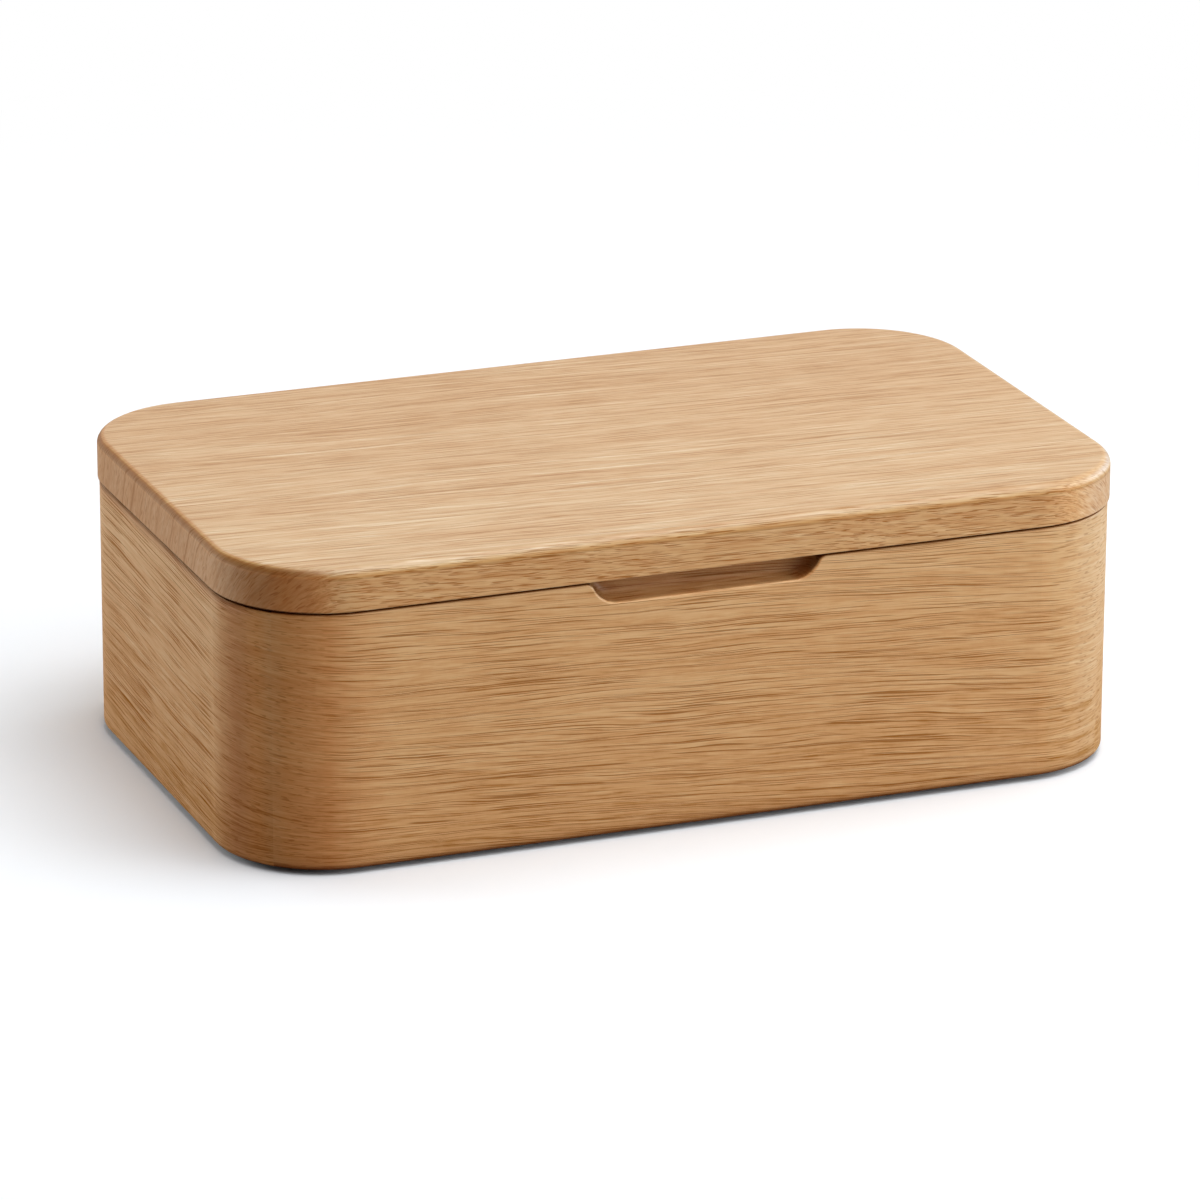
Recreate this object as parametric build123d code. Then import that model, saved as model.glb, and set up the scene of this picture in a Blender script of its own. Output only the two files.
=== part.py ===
from build123d import *

import math
import os

# A keepsake box of solid oak with a hinged lid. Four mitred walls make a frame with large round
# corners, held by a hidden spline in each mitre. The bottom panel is screwed into a rebate from
# below. The lid is one board on two brass stop hinges, and a finger recess in the front wall lets
# the fingertips under it.
# Millimetres. +X runs to the right, +Y to the back and +Z up. The origin is on the table, under
# the middle of the lid.

# Lid
lid_length = 300.0
lid_depth = 180.0
lid_thickness = 14.0
lid_corner_radius = 36.0
lid_top_round = 3.0
lid_bottom_round = 0.5
lid_overhang = 0.6
lid_gap = 0.6
lid_open_angle = 95.0

# Base frame
base_height = 83.4
wall = 14.0
base_top_round = 0.8
base_bottom_round = 2.0
inner_rim_round = 0.8

# Corner splines
spline_thickness = 4.0
spline_width = 14.0
spline_stop = 10.0
glue_gap = 0.05

# Bottom panel
panel_thickness = 6.0
panel_recess = 0.5
panel_gap = 0.2
rebate_depth = 7.0

# Finger recess in the front wall
recess_floor_length = 58.5
recess_height = 7.0
recess_depth = 6.0
recess_end_angle = 65.0
recess_crest_radius = 3.0
recess_cove_radius = 3.5

# Felt pads under the bottom panel, and felt dots on the rim under the lid
pad_diameter = 20.0
pad_thickness = 2.0
pad_inset = 16.0
dot_diameter = 7.0
dot_inset = 12.0

# Hinges
hinge_length = 34.0
hinge_inset = 8.0
hinge_setback = 0.2
knuckle_count = 5
knuckle_wall = 1.0
knuckle_end_gap = 0.2
swing_gap = 0.3
pin_diameter = 2.0
pin_press_gap = 0.01
pin_run_gap = 0.05
leaf_web = 0.6
leaf_corner_radius = 3.0
leaf_tip_round = 0.3
mortise_shoulder = 4.0
mortise_gap = 0.1
stop_spare_angle = 1.0

# Slotted countersunk screws
hinge_screw_head = 4.4
hinge_screw_shank = 2.0
hinge_screw_length = 9.0
hinge_screw_spacing_share = 0.56
panel_screw_head = 5.0
panel_screw_shank = 2.6
panel_screw_length = 14.0
panel_screw_side_shares = (-0.36, 0.0, 0.36)
panel_screw_end_shares = (0.0,)
screw_gap = 0.05
screw_slot_width_share = 0.2
screw_slot_depth_share = 0.2

# How far a cutting shape runs past the surface that it opens
cut_overrun = 5.0

# Plan of the base, from the lid inwards
base_length = lid_length - 2 * lid_overhang
base_depth = lid_depth - 2 * lid_overhang
base_radius = lid_corner_radius - lid_overhang
inner_length = base_length - 2 * wall
inner_depth = base_depth - 2 * wall
inner_radius = base_radius - wall
corner_x = base_length / 2 - base_radius
corner_y = base_depth / 2 - base_radius

# Levels, from the table up
panel_bottom = pad_thickness
panel_top = panel_bottom + panel_thickness
base_bottom = panel_bottom - panel_recess
base_top = base_bottom + base_height
lid_bottom = base_top + lid_gap

# Hinge sizes that follow from the pin, the knuckle and the gap
half_gap = lid_gap / 2
knuckle_radius = pin_diameter / 2 + knuckle_wall
knuckle_pitch = hinge_length / knuckle_count
leaf_drop = knuckle_radius + swing_gap + leaf_web
leaf_width = wall + lid_overhang + hinge_setback - mortise_shoulder
stop_face_angle = (lid_open_angle + stop_spare_angle) / 2
hinge_x = corner_x - hinge_inset - hinge_length / 2
hinge_y = lid_depth / 2 + hinge_setback
hinge_z = base_top + half_gap

corners = {
    "front_left": (-1, -1),
    "front_right": (1, -1),
    "rear_left": (-1, 1),
    "rear_right": (1, 1),
}
sides = {"left": -1, "right": 1}


def board(length, depth, radius, bottom, thickness):
    """A flat board with round corners."""
    return Pos(0, 0, bottom) * extrude(RectangleRounded(length, depth, radius), amount=thickness)


def level_edges(shape, level):
    """The edges of a shape that lie in one level plane."""
    return shape.edges().filter_by(
        lambda edge: abs(edge.center().Z - level) < glue_gap and edge.bounding_box().size.Z < glue_gap
    )


def wall_distance(point):
    """How far a point stands out from the outside of the walls, seen from above."""
    past_x = max(abs(point.X) - corner_x, 0)
    past_y = max(abs(point.Y) - corner_y, 0)
    return math.hypot(past_x, past_y) - base_radius


def group(solid, places):
    """Copies of one solid, each a separate piece of one group."""
    return Compound([place * solid for place in places])


def cut_each(shape, hole, places):
    """The shape with the same hole cut at each place."""
    for place in places:
        shape -= place * hole
    return shape


# Screws

def screw_turning(head_radius, shank_radius, length):
    """A countersunk screw hanging down from the middle of its flat head."""
    cone = head_radius - shank_radius
    outline = Polygon(
        (0, 0),
        (head_radius, 0),
        (shank_radius, -cone),
        (shank_radius, shank_radius - length),
        (0, -length),
        align=None,
    )
    return revolve(Plane.XZ * outline, axis=Axis.Z)


def screw(head, shank, length):
    """A screw with the driver slot across its head."""
    slot = Box(head, head * screw_slot_width_share, 2 * head * screw_slot_depth_share)
    return screw_turning(head / 2, shank / 2, length) - slot


def screw_hole(head, shank, length):
    """Room for a screw, open above its head."""
    head_radius = head / 2 + screw_gap
    mouth = extrude(Circle(head_radius), amount=cut_overrun)
    return screw_turning(head_radius, shank / 2 + screw_gap, length + screw_gap) + mouth


def leaf_screw_points():
    """The screw centres on a pair of leaves, from the middle of the hinge axis."""
    half_spacing = hinge_length * hinge_screw_spacing_share / 2
    row = -(leaf_width + knuckle_radius + swing_gap) / 2
    return [(-half_spacing, row), (half_spacing, row)]


def base_screw_places(hinge_middle):
    """The screws of a base leaf, heads up."""
    return [hinge_middle * Pos(x, y, -half_gap) for x, y in leaf_screw_points()]


def lid_screw_places(hinge_middle):
    """The screws of a lid leaf, heads down."""
    return [hinge_middle * Pos(x, y, half_gap) * Rot(180, 0, 0) for x, y in leaf_screw_points()]


def panel_screw_places():
    """The screws of the bottom panel, heads down, along the ledge of the rebate."""
    row_x = (inner_length + rebate_depth) / 2
    row_y = (inner_depth + rebate_depth) / 2
    points = [(share * inner_length, sign * row_y) for sign in (-1, 1) for share in panel_screw_side_shares]
    points += [(sign * row_x, share * inner_depth) for sign in (-1, 1) for share in panel_screw_end_shares]
    return [Pos(x, y, panel_bottom) * Rot(180, 0, 0) for x, y in points]


hinge_screw_size = (hinge_screw_head, hinge_screw_shank, hinge_screw_length)
panel_screw_size = (panel_screw_head, panel_screw_shank, panel_screw_length)
hinge_middles = {side: Pos(sign * hinge_x, hinge_y, hinge_z) for side, sign in sides.items()}
all_base_screw_places = [place for middle in hinge_middles.values() for place in base_screw_places(middle)]
all_lid_screw_places = [place for middle in hinge_middles.values() for place in lid_screw_places(middle)]


# Hinges

def leaf_plan(length, front, back, radius):
    """The plan of a leaf or its mortise, with round corners at the front."""
    plan = Pos(0, (front + back) / 2) * Rectangle(length, back - front)
    return fillet(plan.vertices().group_by(Axis.Y)[0], radius)


def knuckles(first, radius, length):
    """Every second cylinder of the barrel, counted from the left."""
    steps = [index - (knuckle_count - 1) / 2 for index in range(first, knuckle_count, 2)]
    return [Pos(step * knuckle_pitch, 0, 0) * Rot(0, 90, 0) * Cylinder(radius, length) for step in steps]


def hinge_leaf(first, bore_radius):
    """A leaf that lies under the axis. Behind the barrel it runs on to a sloping stop face, which
    meets the stop face of the other leaf when the lid is fully open."""
    tail = leaf_drop / math.tan(math.radians(stop_face_angle))
    side_view = Polygon(
        (-leaf_width, -half_gap),
        (-leaf_width, -leaf_drop),
        (tail, -leaf_drop),
        (0, 0),
        (-half_gap, -half_gap),
        align=None,
    )
    leaf = extrude(Plane.YZ * side_view, amount=hinge_length / 2, both=True)
    leaf = fillet(leaf.edges().filter_by(Axis.X).sort_by(Axis.Y)[-1], leaf_tip_round)
    plan = leaf_plan(hinge_length, -leaf_width, leaf_width, leaf_corner_radius)
    leaf &= extrude(plan, amount=leaf_width, both=True)
    for gap in knuckles(1 - first, knuckle_radius + swing_gap, knuckle_pitch + knuckle_end_gap):
        leaf -= gap
    for knuckle in knuckles(first, knuckle_radius, knuckle_pitch - knuckle_end_gap):
        leaf += knuckle
    leaf -= Rot(0, 90, 0) * Cylinder(bore_radius, hinge_length)
    return cut_each(leaf, screw_hole(*hinge_screw_size), base_screw_places(Pos(0, 0, 0)))


def base_leaf():
    return hinge_leaf(0, pin_diameter / 2 + pin_press_gap)


def lid_leaf():
    return mirror(hinge_leaf(1, pin_diameter / 2 + pin_run_gap), about=Plane.XY)


def hinge_pin():
    return Rot(0, 90, 0) * Cylinder(pin_diameter / 2, hinge_length - knuckle_end_gap)


def mortise():
    """The seat of both leaves of one hinge, as deep as a leaf in the base and in the lid."""
    plan = leaf_plan(
        hinge_length + 2 * mortise_gap,
        -leaf_width - mortise_gap,
        cut_overrun,
        leaf_corner_radius + mortise_gap,
    )
    return extrude(plan, amount=leaf_drop, both=True)


# Base

def finger_recess():
    """Cuts the finger recess: a flat floor whose ends sweep up in an S to the rim, and a cove
    along the back."""
    turn = math.radians(recess_end_angle)
    half_turn = turn / 2
    sweep_radius = recess_height / (1 - math.cos(turn)) - recess_crest_radius
    floor_end = recess_floor_length / 2
    bend_x = floor_end + sweep_radius * math.sin(turn)
    bend_z = sweep_radius * (1 - math.cos(turn)) - recess_height
    crest_x = bend_x + recess_crest_radius * math.sin(turn)
    shelf_x = crest_x + recess_cove_radius
    sweep_point = (
        floor_end + sweep_radius * math.sin(half_turn),
        sweep_radius * (1 - math.cos(half_turn)) - recess_height,
    )
    crest_point = (
        crest_x - recess_crest_radius * math.sin(half_turn),
        recess_crest_radius * (math.cos(half_turn) - 1),
    )
    right_half = Line((0, -recess_height), (floor_end, -recess_height))
    right_half += ThreePointArc((floor_end, -recess_height), sweep_point, (bend_x, bend_z))
    right_half += ThreePointArc((bend_x, bend_z), crest_point, (crest_x, 0))
    right_half += Polyline((crest_x, 0), (shelf_x, 0), (shelf_x, cut_overrun), (0, cut_overrun))
    outline = make_face(right_half + mirror(right_half, about=Plane.YZ))
    recess = extrude(Plane.XZ * outline, amount=recess_depth + cut_overrun)
    back = recess.faces().sort_by(Axis.Y)[-1]
    recess = fillet(back.edges().filter_by(lambda edge: edge.center().Z < glue_gap), recess_cove_radius)
    return Pos(0, recess_depth - base_depth / 2, base_top) * recess


def base_frame():
    """All four walls in one, before the mitres part them."""
    frame = board(base_length, base_depth, base_radius, base_bottom, base_height)
    frame = fillet(level_edges(frame, base_bottom), base_bottom_round)
    frame -= finger_recess()
    outer_rim = frame.edges().filter_by(
        lambda edge: abs(wall_distance(edge.center())) < glue_gap
        and edge.bounding_box().min.Z > base_top - recess_height - glue_gap
    )
    frame = fillet(outer_rim, base_top_round)
    frame -= board(inner_length, inner_depth, inner_radius, panel_top, base_height)
    inner_rim = level_edges(frame, base_top).filter_by(
        lambda edge: abs(wall_distance(edge.center()) + wall) < glue_gap
    )
    frame = fillet(inner_rim, inner_rim_round)
    rebate_radius = inner_radius + rebate_depth
    frame -= board(
        inner_length + 2 * rebate_depth,
        inner_depth + 2 * rebate_depth,
        rebate_radius,
        base_bottom - cut_overrun,
        panel_top - base_bottom + cut_overrun,
    )
    return frame


def wall_plans():
    """The plan of each wall between its mitres."""
    out_x = base_length / 2 + cut_overrun
    out_y = base_depth / 2 + cut_overrun
    ridge = (base_length - base_depth) / 2
    return {
        "front_wall": [(-out_x, -out_y), (out_x, -out_y), (ridge, 0), (-ridge, 0)],
        "rear_wall": [(-out_x, out_y), (-ridge, 0), (ridge, 0), (out_x, out_y)],
        "left_wall": [(-out_x, -out_y), (-ridge, 0), (-out_x, out_y)],
        "right_wall": [(out_x, -out_y), (out_x, out_y), (ridge, 0)],
    }


def spline(corner, grow=0.0):
    """The loose tongue across one mitre. Grown by the glue gap, it cuts its own slot."""
    sign_x, sign_y = corners[corner]
    middle = (base_radius - wall / 2) * math.sqrt(1 / 2)
    top = base_top - spline_stop
    bottom = panel_top + spline_stop
    tongue = Box(spline_thickness + 2 * grow, spline_width + 2 * grow, top - bottom + 2 * grow)
    place = Pos(sign_x * (corner_x + middle), sign_y * (corner_y + middle), (top + bottom) / 2)
    return place * Rot(0, 0, math.degrees(math.atan2(sign_y, sign_x))) * tongue


def walls():
    """The four walls, each cut from the frame between its mitres."""
    frame = base_frame()
    for corner in corners:
        frame -= spline(corner, glue_gap)
    frame = cut_each(frame, mortise(), hinge_middles.values())
    frame = cut_each(frame, screw_hole(*hinge_screw_size), all_base_screw_places)
    frame = cut_each(frame, screw_hole(*panel_screw_size), panel_screw_places())
    return {
        name: frame & extrude(Polygon(*points, align=None), amount=base_top + cut_overrun)
        for name, points in wall_plans().items()
    }


def bottom_panel():
    room = rebate_depth - panel_gap
    panel = board(
        inner_length + 2 * room,
        inner_depth + 2 * room,
        inner_radius + room,
        panel_bottom,
        panel_thickness,
    )
    return cut_each(panel, screw_hole(*panel_screw_size), panel_screw_places())


def foot_pad(corner):
    sign_x, sign_y = corners[corner]
    place = Pos(sign_x * (inner_length / 2 - pad_inset), sign_y * (inner_depth / 2 - pad_inset), 0)
    return place * extrude(Circle(pad_diameter / 2), amount=pad_thickness)


def rim_dots():
    """Two felt dots on the front rim that hold the lid off by the gap."""
    dot = extrude(Circle(dot_diameter / 2), amount=lid_gap)
    row = (wall - base_depth) / 2
    return group(dot, [Pos(sign * (corner_x - dot_inset), row, base_top) for sign in sides.values()])


# Lid

def lid_panel():
    lid = board(lid_length, lid_depth, lid_corner_radius, lid_bottom, lid_thickness)
    lid = fillet(level_edges(lid, lid_bottom + lid_thickness), lid_top_round)
    lid = fillet(level_edges(lid, lid_bottom), lid_bottom_round)
    lid = cut_each(lid, mortise(), hinge_middles.values())
    return cut_each(lid, screw_hole(*hinge_screw_size), all_lid_screw_places)


nodes = walls()
for corner in corners:
    nodes[f"corner_spline_{corner}"] = spline(corner)
    nodes[f"foot_pad_{corner}"] = foot_pad(corner)
nodes["bottom_panel"] = bottom_panel()
nodes["bottom_screws"] = group(screw(*panel_screw_size), panel_screw_places())
nodes["rim_dots"] = rim_dots()
for side, middle in hinge_middles.items():
    nodes[f"{side}_hinge_base_leaf"] = middle * base_leaf()
    nodes[f"{side}_hinge_lid_leaf"] = middle * lid_leaf()
    nodes[f"{side}_hinge_pin"] = middle * hinge_pin()
nodes["base_leaf_screws"] = group(screw(*hinge_screw_size), all_base_screw_places)
nodes["lid_leaf_screws"] = group(screw(*hinge_screw_size), all_lid_screw_places)
nodes["lid_panel"] = lid_panel()

os.makedirs("parts", exist_ok=True)
for name, shape in nodes.items():
    export_step(shape, f"parts/{name}.step")
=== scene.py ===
import math
import random
import bmesh
import bpy
from mathutils import Matrix, Vector, noise


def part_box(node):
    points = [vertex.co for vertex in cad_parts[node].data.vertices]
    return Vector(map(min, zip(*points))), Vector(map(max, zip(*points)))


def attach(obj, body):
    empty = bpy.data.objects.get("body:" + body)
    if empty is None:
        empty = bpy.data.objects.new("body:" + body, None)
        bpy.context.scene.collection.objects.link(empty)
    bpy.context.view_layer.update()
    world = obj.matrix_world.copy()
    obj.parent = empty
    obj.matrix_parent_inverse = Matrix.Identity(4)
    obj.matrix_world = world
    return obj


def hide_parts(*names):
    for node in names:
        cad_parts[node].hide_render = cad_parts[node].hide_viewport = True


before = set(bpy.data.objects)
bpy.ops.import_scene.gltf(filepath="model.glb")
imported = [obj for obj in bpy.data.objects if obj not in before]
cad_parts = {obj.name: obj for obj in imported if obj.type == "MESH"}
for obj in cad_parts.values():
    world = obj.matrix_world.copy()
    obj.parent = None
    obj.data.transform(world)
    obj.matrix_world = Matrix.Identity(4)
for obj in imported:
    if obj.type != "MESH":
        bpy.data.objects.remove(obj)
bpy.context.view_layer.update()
scene = bpy.context.scene
print("loaded", len(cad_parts), "nodes")


def toLinear(hexColour):
    channels = [int(hexColour[i:i + 2], 16) / 255 for i in (1, 3, 5)]
    return [c / 12.92 if c <= 0.04045 else ((c + 0.055) / 1.055) ** 2.4 for c in channels] + [1.0]


# adds a node with its settings; kind leaves out the ShaderNode that every kind here starts with
# an input is a value, a socket, or a node whose first output is meant
def addNode(tree, kind, inputs=None, stops=None, **settings):
    newNode = tree.nodes.new("ShaderNode" + kind)
    for name, value in settings.items():
        setattr(newNode, name, value)
    for key, value in (inputs or {}).items():
        if isinstance(value, bpy.types.Node):
            value = value.outputs[0]
        if isinstance(value, bpy.types.NodeSocket):
            tree.links.new(value, newNode.inputs[key])
        else:
            newNode.inputs[key].default_value = value
    if stops:
        ramp = newNode.color_ramp
        ramp.interpolation = "EASE"
        while len(ramp.elements) < len(stops):
            ramp.elements.new(0.5)
        for element, (position, colour) in zip(ramp.elements, stops):
            element.position = position
            element.color = toLinear(colour) if isinstance(colour, str) else (*colour, 1)
    return newNode


def startMaterial(name):
    material = bpy.data.materials.new(name)
    material.use_nodes = True
    tree = material.node_tree
    tree.nodes.clear()
    shader = addNode(tree, "BsdfPrincipled")
    addNode(tree, "OutputMaterial", {"Surface": shader})
    return material, tree, shader


def dress(nodeName, material):
    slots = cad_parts[nodeName].data.materials
    slots.clear()
    slots.append(material)


# European oak, quarter-sawn, planed, sanded and oiled: year rings stand on edge, so each face shows
# straight fine lines, with rows of open pores as dark dashes and as specks where the fibres are cut across
# pores, glints, rimPores and flecks: length and width in mm, then where in the noise each starts and is full
oakLook = {
    "deep": "#824c16", "brown": "#a97338", "tan": "#c39261", "straw": "#cda375", "pale": "#e0c19a",
    "poreColour": "#804710",
    "middle": 0.53,                           # what the streaks vary about, from deep at 0 to pale at 1
    "ior": 1.5, "roughness": 0.40, "gloss": 0.5,
    "mattPore": 0.5, "endGloss": 0.3,         # a pore painted this much has no gloss, and ends keep a part
    "waves": ((170, 34), (46, 8), (17, 2.4)),                     # length and width of the grain's bends, mm
    "streaks": ((10, 0.40), (40, 0.85), (90, 2.4), (220, 12)),    # length and width of the fibre lines, mm
    "pores": ((30, 0.30, 0.64, 0.71), (64, 0.36, 0.66, 0.73)),
    "crowding": 0.07,                         # how much earlier a pore starts in the early wood
    "glints": (80, 0.7, 0.62, 0.74), "glintShift": (71, 0, 0),    # shifted, so they don't follow the streaks
    "rimPores": (15, 0.45, 0.52, 0.72),
    "flecks": (3.2, 0.42, 0.63, 0.72), "fleckPaint": 0.35,        # pores that are cut across
    "mottle": 3.0,                            # mm across the soft clouding of the wood
    "yearWidth": 3.4,                         # mm from one year ring to the next
    "unevenYears": (13, 5.0),                 # mm over which years widen and narrow, and by how many years
    "faintYears": (5.2, 40, 0.4, 0.65),       # mm over which ring lines come and go, a shift, start and full
    "faintest": 0.1,
    "poreDepth": 0.05,                        # mm; real pores are finer, so drawn as coarse as shows
    "poreRelief": 2.0, "bump": 0.4,
    "rimDull": (0.6, 0.95, 0.1),              # up the strip under the lid, and the gloss left at its top
    "shadeSamples": 6,
}

# how far a face has turned, in parts of its normal, when each look starts and when it is full
# lidEnd counts as the ends' tints do, from 0 at one end over 0.5 on a long face to 1 at the other end
turned = {"rim": (0.4, 0.8), "calm": (0.4, 0.9), "broad": (0.3, 0.9), "poreFade": (0.1, 0.5),
          "flecks": (0.15, 0.5), "rings": (0.5, 0.9), "corner": (0.25, 0.65), "lidEnd": (0.425, 0.275),
          "rear": (0.15, 0.5), "front": (-0.2, -0.5), "endWall": (0.72, 0.95), "matt": (0.2, 0.6)}

# sheet: two axes that lie in the year rings, then the one that crosses them
# fibre: which of them the pores follow
# lean: mm that the rings drop for each mm along the first two axes; wave: how far the grain wanders, mm
# pith: where the middle of the tree lies, in the second and third axes, mm, so the rings are arcs about it
# paling: how much paler the wood is for each mm along the third axis, and where along it the tint is even,
# mm;
# the walls are darker towards the bottom, and the end walls' steeper darkening is painted shade near the
# floor
# crossLength: how long a streak is along the second axis, as a part of its length along the first
# streaks, mottle, pores (on a broad face and on an edge) and glints: how strong each pattern is
# seed: a shift along the board, mm; the walls share one, so that their streaks run on round the corners
# ribbon: how many times wider a pore is along its ring than through it
# rimPores: the walls' rims lie in the rings, so they get thin dashes of their own
# hollow: how far painted shade darkens the wood in a narrow gap or recess, mm, and its tint from a closed gap
# to an open face
# slant: which end darkens where it is rounded over, and so which way round the ends run
# ends: the tint from end grain that faces one way, over a long face, to end grain that faces the other way;
# the dark band near one end is painted shade, the paler, cooler tint at the other end a painted sheen
# fade: painted shade; where along the length the outside of the front starts to darken towards its left
# corner and where it is darkest, mm, and its tint there, which the ends of that board are worked out on top
# of
# rearEnds: how much of the ends' tint the corners at the rear get
# rings: how dark the year rings show on end grain, and endStreaks: how much of the streaks is left there
# tone: the board's tint on its broad face, on some boards partly painted light and shade; corner: what its
# round corners add to that
# edge: how far below the lid's top its edges change tint, mm, and their tint from there up, partly a richer
# colour and partly painted light and shade across the arris
# endEdgeShading: the same on the end that darkens, from the arris below over the upright face to the arris
# above, painted light and shade; the dark arris below is a painted shadow that deepens the line of the gap on
# that end
# rim: which way the outside of an end wall faces, how far below its top it has painted shade, mm, and its
# tint from there up
# milder painted shade and sheen at the ends of a board
mildEndShading = ((0.0, "#f9f6f3"), (0.1, "#f3ebe2"), (0.25, "#efdfcd"), (0.45, "#ffffff"), (0.58, "#ffffff"),
            (0.85, (0.91, 0.98, 1.16)))
# painted shade under the lid on the end walls, darkest at the top
paintedRimShade = (4.0, ((0.0, (1, 1, 1)), (0.33, (0.93, 0.88, 0.87)), (0.57, (0.82, 0.73, 0.69)),
                  (0.75, (0.63, 0.52, 0.45)), (0.92, (0.32, 0.2, 0.12)), (1.0, (0.14, 0.08, 0.04))))
wallOak = {
    "sheet": "XYZ", "fibre": 0, "crossLength": 1.0, "lean": (0.06, -0.040), "pith": None,
    "wave": (12.0, 2.3, 0.35), "seed": 411, "paling": (0.0023, 40),
    "streaks": (0.6, 0.46, 0.27, 0.24), "endStreaks": 1.0, "mottle": 0.16, "glints": 0.0, "rings": 0.0,
    "pores": (0.55, 0.67), "rimPores": True, "ribbon": 8,
    "hollow": (2.0, ((0.1, "#5c4226"), (0.8, "#ffffff"))),
    "slant": 1, "ends": mildEndShading, "rearEnds": 1.0, "fade": None, "edge": None, "rim": None,
    "tone": (1.15, 1.14, 1.06), "corner": (0.91, 1.0, 1.1),
}
sideOak = {
    # the end walls darken more steeply towards the bottom, a painted shade near the floor
    **wallOak, "fibre": 1, "paling": (0.0040, 46),
    # the end walls' cooler tone is partly painted cool light
    "tone": (1.09, 1.13, 1.19), "corner": (0.96, 1.01, 0.98),
    "hollow": (2.5, ((0.4, "#5c4226"), (0.9, "#ffffff"))),
    "ends": ((0.0, "#f9f6f3"), (0.1, "#f7e6da"), (0.2, (0.97, 0.7, 0.49)), (0.3, (0.81, 0.6, 0.447)),
             (0.4, (0.86, 0.74, 0.62)), (0.46, (0.93, 0.89, 0.85)), (0.5, "#ffffff"), (0.58, "#ffffff"),
             (0.85, (0.91, 0.98, 1.16))),
}
flatOak = {**wallOak, "sheet": "XZY", "crossLength": 0.2, "rimPores": False, "ribbon": 1.3}
oakBoards = {
    "quarterOakLid": {
        **flatOak, "nodes": ["lid_panel"], "lean": (0.055, 0), "pith": (20, -170),
        "wave": (7.0, 2.0, 0.5), "seed": 37, "paling": (-0.0008, 0),
        "streaks": (0.72, 0.5, 0.25, 0.21), "endStreaks": 0.5, "mottle": 0.10, "glints": 0.2, "rings": 0.4,
        # the lid's paler, cooler tone is partly a painted sheen on its top
        "pores": (0.36, 0.6), "tone": (0.935, 1.04, 1.14), "corner": (0.91, 1.0, 1.32), "rearEnds": 0.3,
        "ends": ((0.0, (0.994, 1.005, 1.03)), (0.1, (0.84, 0.65, 0.46)), (0.2, (0.87, 0.56, 0.29)),
                 (0.3, (0.89, 0.66, 0.44)), (0.45, (1, 1, 1)), (0.58, (1, 1, 1)), (0.85, (0.95, 1.08, 1.25))),
        "edge": (5.0, ((0.21, (1.14, 0.98, 0.79)), (0.28, (0.92, 0.73, 0.49)), (0.45, (1.05, 0.84, 0.53)),
                       (0.56, (1.11, 1.02, 0.83)), (0.66, (1.12, 1.12, 1.08)), (0.78, (0.99, 1.0, 1.03)),
                       (0.92, (1, 1, 1)))),
        "endEdgeShading": ((0.25, (0.32, 0.2, 0.11)), (0.4, (0.32, 0.2, 0.11)), (0.47, (1.14, 0.98, 0.81)),
                    (0.575, (1.14, 0.98, 0.81)), (0.665, (0.8, 0.68, 0.52)), (0.74, (0.67, 0.57, 0.41)),
                    (0.83, (0.61, 0.55, 0.4)), (0.9, (0.66, 0.62, 0.46)), (0.95, (0.95, 1.05, 0.9)),
                    (0.98, (1, 1, 1))),
    },
    "quarterOakFront": {
        **wallOak, "nodes": ["front_wall"], "fade": (-103.0, -114.5, (0.93, 0.85, 0.77)),
        "ends": ((0.0, (1.018, 1.085, 1.164)), (0.1, (1.0, 0.93, 0.91)), (0.2, (1.043, 0.824, 0.636)),
                 (0.35, (0.99, 0.847, 0.695)), (0.42, (1.005, 0.94, 0.87)), (0.47, (1, 1, 1)),
                 (0.52, (1, 1, 1)), (0.57, (0.95, 0.99, 1.02)), (0.66, (0.9, 0.965, 1.055)),
                 (0.74, (0.872, 0.93, 1.06)), (0.85, (0.91, 0.98, 1.16))),
        "hollow": (8.0, ((0.15, "#7d5b39"), (0.45, "#ba9f7d"), (1.0, "#ffffff"))),
    },
    # the rear's lower tone is painted shade against the strong light behind it
    "quarterOakRear": {**wallOak, "nodes": ["rear_wall"], "slant": -1, "tone": (1.02, 1.06, 1.06),
                       "corner": (1.026, 1.075, 1.1)},
    "quarterOakLeft": {**sideOak, "nodes": ["left_wall"], "rim": (-1, *paintedRimShade)},
    "quarterOakRight": {**sideOak, "nodes": ["right_wall"], "rim": (1, *paintedRimShade), "slant": -1,
                        "ends": mildEndShading},
    "quarterOakBottom": {
        **flatOak, "lean": (0.02, 0), "pith": (-60, -190), "wave": (9.0, 1.6, 0.4),
        "seed": 3119, "paling": (0.0, 0),
        "nodes": ["bottom_panel", "corner_spline_front_left", "corner_spline_front_right",
                  "corner_spline_rear_left", "corner_spline_rear_right"],
    },
}


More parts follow.
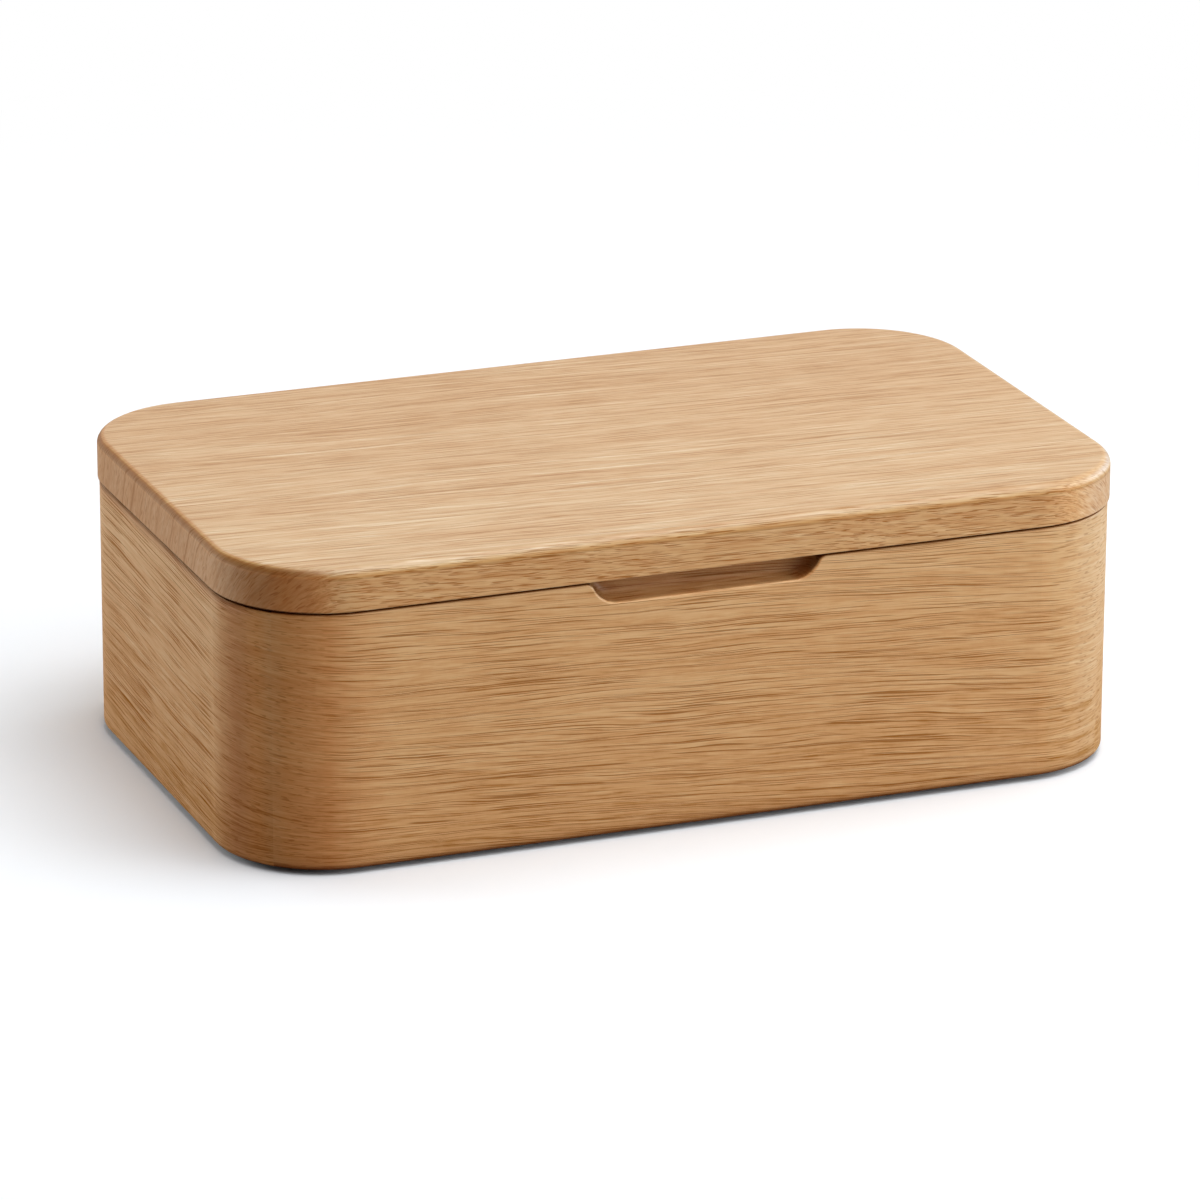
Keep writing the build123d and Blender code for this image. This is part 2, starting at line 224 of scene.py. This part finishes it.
def oakMaterial(name, board):
    material, tree, shader = startMaterial(name)
    place = addNode(tree, "TexCoord")
    millimetres = addNode(tree, "VectorMath", {0: place.outputs["Object"], 3: 1000.0}, operation="SCALE")
    axes = addNode(tree, "SeparateXYZ", {0: millimetres})
    facing = addNode(tree, "SeparateXYZ", {0: place.outputs["Normal"]})
    flat = addNode(tree, "Math", {0: facing.outputs["Z"]}, operation="ABSOLUTE")
    alongFibre = facing.outputs[board["sheet"][board["fibre"]]]
    steep = addNode(tree, "Math", {0: alongFibre}, operation="ABSOLUTE")
    slant = addNode(tree, "MapRange", {0: alongFibre, 1: -board["slant"], 2: board["slant"]})
    first, second, third = (axes.outputs[axis] for axis in board["sheet"])
    first = addNode(tree, "Math", {0: first, 1: float(board["seed"])}, operation="ADD")
    wood = addNode(tree, "CombineXYZ", {0: first, 1: second, 2: third})

    # the rings lean, then wander slowly along the board and a little from line to line
    leanFirst, leanSecond = board["lean"]
    if board["pith"]:
        toBoard = [0] + [-c for c in board["pith"]]
        fromPith = addNode(tree, "VectorMath", {0: wood, 1: (0, 1, 1), 2: toBoard}, operation="MULTIPLY_ADD")
        radius = addNode(tree, "VectorMath", {0: fromPith}, operation="LENGTH").outputs["Value"]
        drop = addNode(tree, "VectorMath", {0: wood, 1: (leanFirst, 0, 0)}, operation="DOT_PRODUCT")
        across = addNode(tree, "Math", {0: drop.outputs["Value"], 1: radius}, operation="ADD").outputs[0]
    else:
        slope = (leanFirst, leanSecond, 1)
        drop = addNode(tree, "VectorMath", {0: wood, 1: slope}, operation="DOT_PRODUCT")
        across = drop.outputs["Value"]
    for (length, width), push in zip(oakLook["waves"], board["wave"]):
        size = (1 / length, 1 / length, 1 / width)
        spot = addNode(tree, "VectorMath", {0: wood, 1: size}, operation="MULTIPLY")
        drift = addNode(tree, "TexNoise", {"Vector": spot, "Scale": 1.0, "Detail": 1.0})
        across = addNode(tree, "Math", {0: drift, 1: push, 2: across}, operation="MULTIPLY_ADD")
    sheet = addNode(tree, "CombineXYZ", {0: first, 1: second, 2: across})

    # streaks of fibre from hair-fine to broad make one value that runs from deep to pale
    # paler along the third axis: the walls are darker towards the bottom, the end walls more steeply as
    # painted shade
    palingRate, palingLevel = board["paling"]
    level = oakLook["middle"] - palingRate * palingLevel - sum(board["streaks"]) / 2
    shade = addNode(tree, "Math", {0: third, 1: palingRate, 2: level}, operation="MULTIPLY_ADD")
    for (length, width), weight in zip(oakLook["streaks"], board["streaks"]):
        size = (1 / length, 1 / (length * board["crossLength"]), 1 / width)
        spot = addNode(tree, "VectorMath", {0: sheet, 1: size}, operation="MULTIPLY")
        streak = addNode(tree, "TexNoise", {"Vector": spot, "Scale": 1.0, "Detail": 1.0})
        shade = addNode(tree, "Math", {0: streak, 1: weight, 2: shade}, operation="MULTIPLY_ADD")
    spot = addNode(tree, "VectorMath", {0: wood, 3: 1 / oakLook["mottle"]}, operation="SCALE")
    mottle = addNode(tree, "TexNoise", {"Vector": spot, "Scale": 1.0, "Detail": 3.0, "Roughness": 0.7})
    mottle = addNode(tree, "Math", {0: mottle, 1: 0.5}, operation="SUBTRACT")
    shade = addNode(tree, "Math", {0: mottle, 1: board["mottle"], 2: shade}, operation="MULTIPLY_ADD")
    length, width, low, high = oakLook["glints"]
    size = (1 / length, 1 / (length * board["crossLength"]), 1 / width)
    spot = addNode(tree, "VectorMath", {0: sheet, 1: size, 2: oakLook["glintShift"]},
                   operation="MULTIPLY_ADD")
    glint = addNode(tree, "TexNoise", {"Vector": spot, "Scale": 1.0, "Detail": 0.0})
    glint = addNode(tree, "MapRange", {0: glint, 1: low, 2: high})
    glint = addNode(tree, "Math", {0: glint, 1: flat}, operation="MULTIPLY")
    shade = addNode(tree, "Math", {0: glint, 1: board["glints"], 2: shade}, operation="MULTIPLY_ADD")

    # open pores: thin dashes along the fibre, crowded into the early wood of each year
    years = addNode(tree, "Math", {0: across, 1: oakLook["yearWidth"]}, operation="DIVIDE")
    season = addNode(tree, "Math", {0: years}, operation="FRACT")
    early, late = [oakLook["crowding"]] * 3, [0.0] * 3
    crowding = addNode(tree, "ValToRGB", {0: season},
                       stops=[(0.0, early), (0.15, late), (0.85, late), (1.0, early)])
    pores = []
    for length, width, low, high in oakLook["pores"]:
        size = [1 / (board["ribbon"] * width), 1 / (board["ribbon"] * width), 1 / width]
        size[board["fibre"]] = 1 / length
        spot = addNode(tree, "VectorMath", {0: sheet, 1: size}, operation="MULTIPLY")
        dash = addNode(tree, "TexNoise", {"Vector": spot, "Scale": 1.0, "Detail": 0.0})
        dash = addNode(tree, "Math", {0: dash, 1: crowding}, operation="ADD")
        pores.append(addNode(tree, "MapRange", {0: dash, 1: low, 2: high}))
    pore = addNode(tree, "Math", {0: pores[0], 1: pores[1]}, operation="MAXIMUM")
    if board["rimPores"]:
        length, width, low, high = oakLook["rimPores"]
        size = [1 / width, 1 / width, 1 / oakLook["yearWidth"]]
        size[board["fibre"]] = 1 / length
        spot = addNode(tree, "VectorMath", {0: wood, 1: size}, operation="MULTIPLY")
        dash = addNode(tree, "TexNoise", {"Vector": spot, "Scale": 1.0, "Detail": 1.0})
        dash = addNode(tree, "MapRange", {0: dash, 1: low, 2: high})
        start, full = turned["rim"]
        onRim = addNode(tree, "MapRange", {0: flat, 1: start, 2: full})
        pore = addNode(tree, "Mix", {0: onRim, 2: pore, 3: dash})

    # end grain keeps only a part of the streaks, then the value becomes the wood's colour
    start, full = turned["calm"]
    calm = addNode(tree, "MapRange", {0: steep, 1: start, 2: full, 3: 1.0, 4: board["endStreaks"]})
    shade = addNode(tree, "Math", {0: shade, 1: oakLook["middle"]}, operation="SUBTRACT")
    shade = addNode(tree, "Math", {0: shade, 1: calm, 2: oakLook["middle"]}, operation="MULTIPLY_ADD")
    ramp = [(0.0, "deep"), (0.25, "brown"), (0.48, "tan"), (0.68, "straw"), (1.0, "pale")]
    colour = addNode(tree, "ValToRGB", {0: shade}, stops=[(at, oakLook[key]) for at, key in ramp])
    for element in colour.color_ramp.elements:
        element.color = [c * t for c, t in zip(element.color, (*board["tone"], 1))]

    # pores are painted on the long faces and fade into flecks where the fibres are cut on the slant
    onFace, onEdge = board["pores"]
    start, full = turned["broad"]
    porePaint = addNode(tree, "MapRange", {0: flat, 1: start, 2: full, 3: onEdge, 4: onFace})
    start, full = turned["poreFade"]
    poreFade = addNode(tree, "MapRange", {0: steep, 1: start, 2: full, 3: 1.0, 4: 0.0})
    porePaint = addNode(tree, "Math", {0: porePaint, 1: poreFade}, operation="MULTIPLY")
    porePaint = addNode(tree, "Math", {0: pore, 1: porePaint}, operation="MULTIPLY")
    length, width, low, high = oakLook["flecks"]
    size = (1 / length, 1 / length, 1 / width)
    spot = addNode(tree, "VectorMath", {0: sheet, 1: size}, operation="MULTIPLY")
    fleck = addNode(tree, "TexNoise", {"Vector": spot, "Scale": 1.0, "Detail": 0.0})
    fleck = addNode(tree, "MapRange", {0: fleck, 1: low, 2: high})
    start, full = turned["flecks"]
    fleckPaint = addNode(tree, "MapRange", {0: steep, 1: start, 2: full, 3: 0.0, 4: oakLook["fleckPaint"]})
    fleckPaint = addNode(tree, "Math", {0: fleck, 1: fleckPaint}, operation="MULTIPLY")
    porePaint = addNode(tree, "Math", {0: porePaint, 1: fleckPaint}, operation="MAXIMUM")

    # on true end grain the early wood of each year is a line, stronger in some years than in others
    spread, shift = oakLook["unevenYears"]
    spot = addNode(tree, "Math", {0: across, 1: spread}, operation="DIVIDE")
    uneven = addNode(tree, "TexNoise", {"W": spot, "Scale": 1.0, "Detail": 1.0}, noise_dimensions="1D")
    ringYears = addNode(tree, "Math", {0: uneven, 1: shift, 2: years}, operation="MULTIPLY_ADD")
    ringSeason = addNode(tree, "Math", {0: ringYears}, operation="FRACT")
    ringLine = addNode(tree, "ValToRGB", {0: ringSeason}, stops=[
        (0.0, [0.6] * 3), (0.1, [1.0] * 3), (0.32, [0.0] * 3), (0.9, [0.0] * 3), (1.0, [0.6] * 3)])
    spread, shift, low, high = oakLook["faintYears"]
    spot = addNode(tree, "Math", {0: across, 1: 1 / spread, 2: shift}, operation="MULTIPLY_ADD")
    faint = addNode(tree, "TexNoise", {"W": spot, "Scale": 1.0, "Detail": 1.0}, noise_dimensions="1D")
    faint = addNode(tree, "MapRange", {0: faint, 1: low, 2: high, 3: oakLook["faintest"], 4: 1.0})
    ringLine = addNode(tree, "Math", {0: ringLine, 1: faint}, operation="MULTIPLY")
    start, full = turned["rings"]
    ringPaint = addNode(tree, "MapRange", {0: steep, 1: start, 2: full, 3: 0.0, 4: board["rings"]})
    ringPaint = addNode(tree, "Math", {0: ringLine, 1: ringPaint}, operation="MULTIPLY")
    porePaint = addNode(tree, "Math", {0: porePaint, 1: ringPaint}, operation="MAXIMUM")
    poreColour = toLinear(oakLook["poreColour"])
    colour = addNode(tree, "Mix", {0: porePaint, 6: colour, 7: poreColour}, data_type="RGBA").outputs[2]

    # each layer of tint multiplies the colour so far, as far as its strength goes
    tintLayers = []
    start, full = turned["corner"]
    onCorner = addNode(tree, "MapRange", {0: steep, 1: start, 2: full}, interpolation_type="SMOOTHSTEP")
    tintLayers.append((onCorner, (*board["corner"], 1)))
    top = 1000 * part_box(board["nodes"][0])[1].z

    # the lid's edges: partly a richer colour than its broad face, partly painted light and shade across the
    # arris, with painted shade along the line where the arris starts
    if board["edge"]:
        depth, tints = board["edge"]
        lidRise = addNode(tree, "MapRange", {0: axes.outputs["Z"], 1: top - depth, 2: top})
        longEdgeShading = addNode(tree, "ValToRGB", {0: lidRise}, stops=tints)
        tilt = addNode(tree, "MapRange", {0: facing.outputs["Z"], 1: -1.0, 2: 1.0})
        lidEndShading = addNode(tree, "ValToRGB", {0: tilt}, stops=board["endEdgeShading"])
        start, full = turned["lidEnd"]
        onEnd = addNode(tree, "MapRange", {0: slant, 1: start, 2: full}, interpolation_type="SMOOTHSTEP")
        edgeLightAndShade = addNode(tree, "Mix", {0: onEnd, 6: longEdgeShading, 7: lidEndShading}, data_type="RGBA").outputs[2]
        tintLayers.append((1.0, edgeLightAndShade))

    # end grain: true end grain is greyer; fibres cut on the slant go darker at one end, a painted shade where
    # the corner turns from the lights, and paler and cooler at the other, a painted sheen
    endShadeAndSheen = addNode(tree, "ValToRGB", {0: slant}, stops=board["ends"])
    start, full = turned["rear"]
    endPaint = addNode(tree, "MapRange",
                       {0: facing.outputs["Y"], 1: start, 2: full, 3: 1.0, 4: board["rearEnds"]})
    tintLayers.append((endPaint, endShadeAndSheen))

    # painted shade: the front darkens a little before its corner starts to turn
    if board["fade"]:
        begin, end, fadeShadeTint = board["fade"]
        fadeShade = addNode(tree, "MapRange", {0: axes.outputs["X"], 1: begin, 2: end})
        start, full = turned["front"]
        outside = addNode(tree, "MapRange", {0: facing.outputs["Y"], 1: start, 2: full})
        fadeShade = addNode(tree, "Math", {0: fadeShade, 1: outside}, operation="MULTIPLY")
        tintLayers.append((fadeShade, (*fadeShadeTint, 1)))

    # painted shade: the end walls are darker right under the lid, which shades them from most sides
    if board["rim"]:
        outward, depth, tints = board["rim"]
        rimRise = addNode(tree, "MapRange", {0: axes.outputs["Z"], 1: top - depth, 2: top})
        rimShadeTint = addNode(tree, "ValToRGB", {0: rimRise}, stops=tints)
        start, full = turned["endWall"]
        outside = addNode(tree, "MapRange", {0: facing.outputs["X"], 1: start * outward, 2: full * outward})
        tintLayers.append((outside, rimShadeTint))

    # painted shade by ambient occlusion: the finger recess and the gap under the lid are darker and less
    # glossy than the open faces
    reach, tints = board["hollow"]
    openness = addNode(tree, "AmbientOcclusion", {"Distance": 0.001 * reach}, samples=oakLook["shadeSamples"])
    openness = openness.outputs["AO"]
    tintLayers.append((1.0, addNode(tree, "ValToRGB", {0: openness}, stops=tints)))
    for strength, tint in tintLayers:
        layer = addNode(tree, "Mix", {0: strength, 6: colour, 7: tint}, data_type="RGBA",
                        blend_type="MULTIPLY")
        colour = layer.outputs[2]

    # pores, hollows, end grain and the strip under the lid lose their gloss
    gloss = addNode(tree, "MapRange", {0: porePaint, 2: oakLook["mattPore"], 3: oakLook["gloss"], 4: 0.0})
    gloss = addNode(tree, "Math", {0: gloss, 1: openness}, operation="MULTIPLY")
    start, full = turned["matt"]
    matt = addNode(tree, "MapRange", {0: steep, 1: start, 2: full, 3: 1.0, 4: oakLook["endGloss"]})
    gloss = addNode(tree, "Math", {0: gloss, 1: matt}, operation="MULTIPLY")
    if board["rim"]:
        start, full, left = oakLook["rimDull"]
        dull = addNode(tree, "MapRange", {0: rimRise, 1: start, 2: full, 3: 1.0, 4: left})
        gloss = addNode(tree, "Math", {0: gloss, 1: dull}, operation="MULTIPLY")
    relief = addNode(tree, "Math", {0: porePaint, 1: -oakLook["poreRelief"], 2: shade},
                     operation="MULTIPLY_ADD")
    depth = 0.001 * oakLook["poreDepth"]
    bump = addNode(tree, "Bump", {"Height": relief, "Strength": oakLook["bump"], "Distance": depth})
    tree.links.new(colour, shader.inputs["Base Color"])
    tree.links.new(gloss.outputs[0], shader.inputs["Specular IOR Level"])
    tree.links.new(bump.outputs[0], shader.inputs["Normal"])
    shader.inputs["Roughness"].default_value = oakLook["roughness"]
    shader.inputs["IOR"].default_value = oakLook["ior"]
    return material


for name, board in oakBoards.items():
    boardOak = oakMaterial(name, board)
    for nodeName in board["nodes"]:
        dress(nodeName, boardOak)
print("oak done")


# solid brass, milled and brushed along the hinge, with clear lacquer: fine scratches along X
def brassMaterial():
    look = {"colour": "#d2b887", "worn": "#b0935f", "roughness": 0.34, "wear": 0.12,
            "pitch": 0.25, "length": 20, "depth": 0.02, "bump": 0.25}       # scratches, in mm, drawn coarse
    material, tree, shader = startMaterial("brushedBrass")
    place = addNode(tree, "TexCoord")
    pitch, length = 0.001 * look["pitch"], 0.001 * look["length"]
    spot = addNode(tree, "VectorMath", {0: place.outputs["Object"], 1: (1 / length, 1 / pitch, 1 / pitch)},
                   operation="MULTIPLY")
    scratch = addNode(tree, "TexNoise", {"Vector": spot, "Scale": 1.0, "Detail": 2.0})
    colour = addNode(tree, "ValToRGB", {0: scratch}, stops=[(0.3, look["worn"]), (0.62, look["colour"])])
    worn = look["roughness"] + look["wear"]
    roughness = addNode(tree, "MapRange", {0: scratch, 3: worn, 4: look["roughness"]})
    depth = 0.001 * look["depth"]
    bump = addNode(tree, "Bump", {"Height": scratch, "Strength": look["bump"], "Distance": depth})
    tree.links.new(colour.outputs[0], shader.inputs["Base Color"])
    tree.links.new(roughness.outputs[0], shader.inputs["Roughness"])
    tree.links.new(bump.outputs[0], shader.inputs["Normal"])
    shader.inputs["Metallic"].default_value = 1.0
    return material


# zinc-plated steel screws: cool grey with a faint cloudy bloom
def steelMaterial():
    look = {"colour": "#b9bcc0", "bloom": "#9a9fa6", "roughness": 0.34, "wear": 0.1,
            "cloud": 1.2}                                                   # mm across a cloud
    material, tree, shader = startMaterial("zincPlatedSteel")
    place = addNode(tree, "TexCoord")
    cloud = addNode(tree, "TexNoise", {"Vector": place.outputs["Object"], "Scale": 1000 / look["cloud"]})
    colour = addNode(tree, "ValToRGB", {0: cloud}, stops=[(0.35, look["bloom"]), (0.65, look["colour"])])
    worn = look["roughness"] + look["wear"]
    roughness = addNode(tree, "MapRange", {0: cloud, 3: worn, 4: look["roughness"]})
    tree.links.new(colour.outputs[0], shader.inputs["Base Color"])
    tree.links.new(roughness.outputs[0], shader.inputs["Roughness"])
    shader.inputs["Metallic"].default_value = 1.0
    return material


# pressed wool felt: a matt mat of crossed fibres with a soft sheen
def feltMaterial():
    look = {"colour": "#6b5642", "dark": "#4a3a2b", "roughness": 0.95, "sheen": 0.3,
            "fibre": 0.35, "depth": 0.2, "bump": 0.6}                       # clumps of fibre, in mm
    material, tree, shader = startMaterial("pressedFelt")
    place = addNode(tree, "TexCoord")
    clump = addNode(tree, "TexNoise", {"Vector": place.outputs["Object"], "Scale": 1000 / look["fibre"],
                                       "Detail": 4.0, "Roughness": 0.7})
    colour = addNode(tree, "ValToRGB", {0: clump}, stops=[(0.3, look["dark"]), (0.7, look["colour"])])
    depth = 0.001 * look["depth"]
    bump = addNode(tree, "Bump", {"Height": clump, "Strength": look["bump"], "Distance": depth})
    tree.links.new(colour.outputs[0], shader.inputs["Base Color"])
    tree.links.new(bump.outputs[0], shader.inputs["Normal"])
    shader.inputs["Roughness"].default_value = look["roughness"]
    shader.inputs["Sheen Weight"].default_value = look["sheen"]
    return material


brass, steel, felt = brassMaterial(), steelMaterial(), feltMaterial()
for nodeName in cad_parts:
    if "hinge" in nodeName or "leaf_screws" in nodeName:
        dress(nodeName, brass)
    elif nodeName == "bottom_screws":
        dress(nodeName, steel)
    elif nodeName.startswith("foot_pad") or nodeName == "rim_dots":
        dress(nodeName, felt)
print("metal and felt done")


# felt discs punched from a pressed sheet: the faces are a little lumpy, and the cut edge is soft and
# sheds hairs
# lengths in mm; real hairs are finer, so they are drawn as coarse as shows; hairs: for each 10 mm of radius
# edgeShare, sinkShare and hairShare: the most that a round, a dip and a hair may take of a thin disc's height
feltLook = {"turns": 72, "rings": 8, "edgeSteps": 4, "edgeRound": 0.5, "edgeShare": 0.4,
            "lumps": 0.14, "lumpSize": 1.7, "sinkShare": 0.12,
            "hairs": 110, "hairLength": 0.9, "hairWidth": 0.06, "hairShare": 0.1}


def feltDisc(mesh, middle, radius, height, chance):
    edgeRound = min(feltLook["edgeRound"], feltLook["edgeShare"] * height)
    sink = min(feltLook["lumps"], feltLook["sinkShare"] * height)
    arc = [math.radians(step * 90 / feltLook["edgeSteps"]) for step in range(feltLook["edgeSteps"] + 1)]
    rim = radius - edgeRound
    flat = [rim * ring / feltLook["rings"] for ring in range(1, feltLook["rings"])]
    profile = [(r, 0.0) for r in flat]
    profile += [(rim + edgeRound * math.sin(a), edgeRound * (1 - math.cos(a))) for a in arc]
    profile += [(r, height - z) for r, z in reversed(profile)]

    def softened(r, z, turn):
        place = Vector((r * math.cos(turn), r * math.sin(turn), z))
        lump = 0.5 + 0.5 * noise.noise((place + middle) / feltLook["lumpSize"])
        inward = r - lump * feltLook["lumps"] * r / radius
        level = z + lump * sink * (1 - 2 * z / height)
        return middle + Vector((inward * math.cos(turn), inward * math.sin(turn), level))

    turns = [2 * math.pi * step / feltLook["turns"] for step in range(feltLook["turns"])]
    loops = [[mesh.verts.new(softened(r, z, turn) * 0.001) for turn in turns] for r, z in profile]
    for lower, upper in zip(loops, loops[1:]):
        for i in range(len(turns)):
            mesh.faces.new((lower[i - 1], lower[i], upper[i], upper[i - 1]))
    bottom = mesh.verts.new(softened(0, 0, 0) * 0.001)
    top = mesh.verts.new(softened(0, height, 0) * 0.001)
    for i in range(len(turns)):
        mesh.faces.new((bottom, loops[0][i], loops[0][i - 1]))
        mesh.faces.new((top, loops[-1][i - 1], loops[-1][i]))

    # each hair is a tapering three-sided strand that starts inside the edge and bends off sideways
    width = min(feltLook["hairWidth"], feltLook["hairShare"] * height)
    for _ in range(round(feltLook["hairs"] * radius / 10)):
        turn = chance.uniform(0, 2 * math.pi)
        out = Vector((math.cos(turn), math.sin(turn), 0))
        aside = Vector((-math.sin(turn), math.cos(turn), 0))
        length = feltLook["hairLength"] * chance.uniform(0.4, 1.0)
        bend = aside * chance.uniform(-1, 1)
        root = middle + out * (radius - 2 * feltLook["lumps"])
        level = height * chance.uniform(0.2, 0.8)
        goal = 0.9 if chance.random() > 0.5 else 0.1                        # towards the upper or lower face
        climb = (goal - level / height) * height * chance.random()
        strand = []
        for share in (0.0, 0.35, 0.7):
            spot = root + out * length * share + bend * length * share ** 2
            spot.z += level + climb * share
            thick = width / 2 * (1 - share)
            around = [(math.cos(a), math.sin(a)) for a in (0, 2 * math.pi / 3, 4 * math.pi / 3)]
            strand.append([mesh.verts.new((spot + aside * c * thick + Vector((0, 0, s * thick))) * 0.001)
                           for c, s in around])
        tip = root + out * length + bend * length
        tip.z += level + climb
        tip = mesh.verts.new(tip * 0.001)
        for lower, upper in zip(strand, strand[1:]):
            for i in range(3):
                mesh.faces.new((lower[i - 1], lower[i], upper[i], upper[i - 1]))
        for i in range(3):
            mesh.faces.new((strand[-1][i - 1], strand[-1][i], tip))
        mesh.faces.new(reversed(strand[0]))


# the front rim carries two dots in one node, one at each end of its box, and each foot pad fills its own
for nodeName in [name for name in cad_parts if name.startswith("foot_pad") or name == "rim_dots"]:
    low, high = (corner * 1000 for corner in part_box(nodeName))
    radius, height = (high.y - low.y) / 2, high.z - low.z
    middles = [low.x + radius, high.x - radius] if nodeName == "rim_dots" else [(low.x + high.x) / 2]
    chance = random.Random(nodeName)
    mesh = bmesh.new()
    for x in middles:
        feltDisc(mesh, Vector((x, (low.y + high.y) / 2, low.z)), radius, height, chance)
    bmesh.ops.recalc_face_normals(mesh, faces=mesh.faces)
    discMesh = bpy.data.meshes.new("felt_" + nodeName)
    mesh.to_mesh(discMesh)
    mesh.free()
    discMesh.materials.append(felt)
    for face in discMesh.polygons:
        face.use_smooth = True
    disc = bpy.data.objects.new("felt_" + nodeName, discMesh)
    scene.collection.objects.link(disc)
    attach(disc, "base")
    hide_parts(nodeName)
print("felt discs done")


# a white sweep: white to the camera with the box's shadow on it, and a dimmer bounce for the walls
# near and far: how far from the middle, in metres, the floor starts to turn plain white and where it is
floorLook = {"size": 12.0, "near": 0.3, "far": 0.8,
             "white": "#f0f4f8", "bounce": "#bcbcbc", "mirrored": "#6c6c6c"}


def floorMaterial():
    material = bpy.data.materials.new("studioFloor")
    material.use_nodes = True
    tree = material.node_tree
    tree.nodes.clear()
    path = addNode(tree, "LightPath")
    colour = addNode(tree, "Mix", {0: path.outputs["Is Camera Ray"], 6: toLinear(floorLook["bounce"]),
                                   7: toLinear(floorLook["white"])}, data_type="RGBA")
    colour = addNode(tree, "Mix", {0: path.outputs["Is Glossy Ray"], 6: colour.outputs[2],
                                   7: toLinear(floorLook["mirrored"])}, data_type="RGBA")
    mixed = addNode(tree, "BsdfDiffuse", {"Color": colour.outputs[2]})
    place = addNode(tree, "TexCoord")
    reach = addNode(tree, "VectorMath", {0: place.outputs["Object"]}, operation="LENGTH")
    far = addNode(tree, "MapRange", {0: reach.outputs["Value"], 1: floorLook["near"], 2: floorLook["far"]},
                  interpolation_type="SMOOTHSTEP")
    farSeen = addNode(tree, "Math", {0: far, 1: path.outputs["Is Camera Ray"]}, operation="MULTIPLY")
    glow = addNode(tree, "Emission", {"Color": (1, 1, 1, 1), "Strength": 1.0})
    mixed = addNode(tree, "MixShader", {0: farSeen, 1: mixed, 2: glow})
    addNode(tree, "OutputMaterial", {"Surface": mixed})
    return material


half = floorLook["size"] / 2
floorMesh = bpy.data.meshes.new("floor")
floorCorners = [(-half, -half, 0), (half, -half, 0), (half, half, 0), (-half, half, 0)]
floorMesh.from_pydata(floorCorners, [], [(0, 1, 2, 3)])
floorMesh.materials.append(floorMaterial())
floor = bpy.data.objects.new("floor", floorMesh)
scene.collection.objects.link(floor)

# soft boxes: azimuth is counted from the front, plus to the right; at level 1 a light alone would
# show a white card that faces it as white
lightLook = {"distance": 2.0, "aim": 0.05}                                  # metres; aim: height aimed at
softBoxes = {
    "keyFrontTop": {"azimuth": 20, "elevation": 60, "width": 2.4, "height": 1.4, "level": 0.55},
    "sideRightLow": {"azimuth": 73, "elevation": 12, "width": 3.0, "height": 0.7, "level": 1.20},
    "fillRearLeft": {"azimuth": -144, "elevation": 10, "width": 1.8, "height": 0.6, "level": 1.0},
    "overhead": {"azimuth": 80, "elevation": 80, "width": 1.6, "height": 1.4, "level": 0.66},
}
for name, box in softBoxes.items():
    turn, rise = math.radians(box["azimuth"]), math.radians(box["elevation"])
    away = Vector((math.sin(turn) * math.cos(rise), -math.cos(turn) * math.cos(rise), math.sin(rise)))
    lamp = bpy.data.lights.new(name, "AREA")
    lamp.shape = "RECTANGLE"
    lamp.size, lamp.size_y = box["width"], box["height"]
    lamp.energy = box["level"] * (math.pi * lightLook["distance"]) ** 2
    holder = bpy.data.objects.new(name, lamp)
    holder.location = away * lightLook["distance"] + Vector((0, 0, lightLook["aim"]))
    holder.rotation_euler = away.to_track_quat("Z", "Y").to_euler()
    holder.visible_glossy = name != "fillRearLeft"                          # it only lifts the shadows
    scene.collection.objects.link(holder)

# the room: white behind the box and in its gloss; ambient: how bright it is as a source of soft light
roomLook = {"ambient": 0.0}
world = bpy.data.worlds.new("studioRoom")
world.use_nodes = True
scene.world = world
room = world.node_tree
room.nodes.clear()
path = addNode(room, "LightPath")
seen = addNode(room, "Math", {0: path.outputs["Is Camera Ray"], 1: path.outputs["Is Glossy Ray"]},
               operation="ADD")
seen = addNode(room, "Math", {0: seen, 1: path.outputs["Is Transmission Ray"]}, operation="ADD",
               use_clamp=True)
strength = addNode(room, "MapRange", {0: seen, 3: roomLook["ambient"], 4: 1.0})
sky = addNode(room, "Background", {"Color": (1, 1, 1, 1), "Strength": strength})
addNode(room, "OutputWorld", {"Surface": sky})
scene.view_settings.view_transform = "Standard"
print("light done")

# the photograph's view: a long lens from the front left, a little above the lid
cameraLook = {"azimuth": -21.5, "elevation": 19.145, "roll": 0.263, "distance": 2.3200, "across": -0.0002,
              "rise": 0.0435, "lens": 214.9, "sensor": 36}
turn, rise, roll = (math.radians(cameraLook[key]) for key in ("azimuth", "elevation", "roll"))
back = Vector((math.sin(turn) * math.cos(rise), -math.cos(turn) * math.cos(rise), math.sin(rise)))
right = Vector((math.cos(turn), math.sin(turn), 0))
up = back.cross(right)
right, up = right * math.cos(roll) + up * math.sin(roll), up * math.cos(roll) - right * math.sin(roll)
camera = bpy.data.objects.new("camera", bpy.data.cameras.new("camera"))
camera.data.lens = cameraLook["lens"]
camera.data.sensor_width = cameraLook["sensor"]
standPoint = right * cameraLook["across"] + up * cameraLook["rise"] + back * cameraLook["distance"]
camera.matrix_world = Matrix.Translation(standPoint) @ Matrix((right, up, back)).transposed().to_4x4()
scene.collection.objects.link(camera)
scene.camera = camera
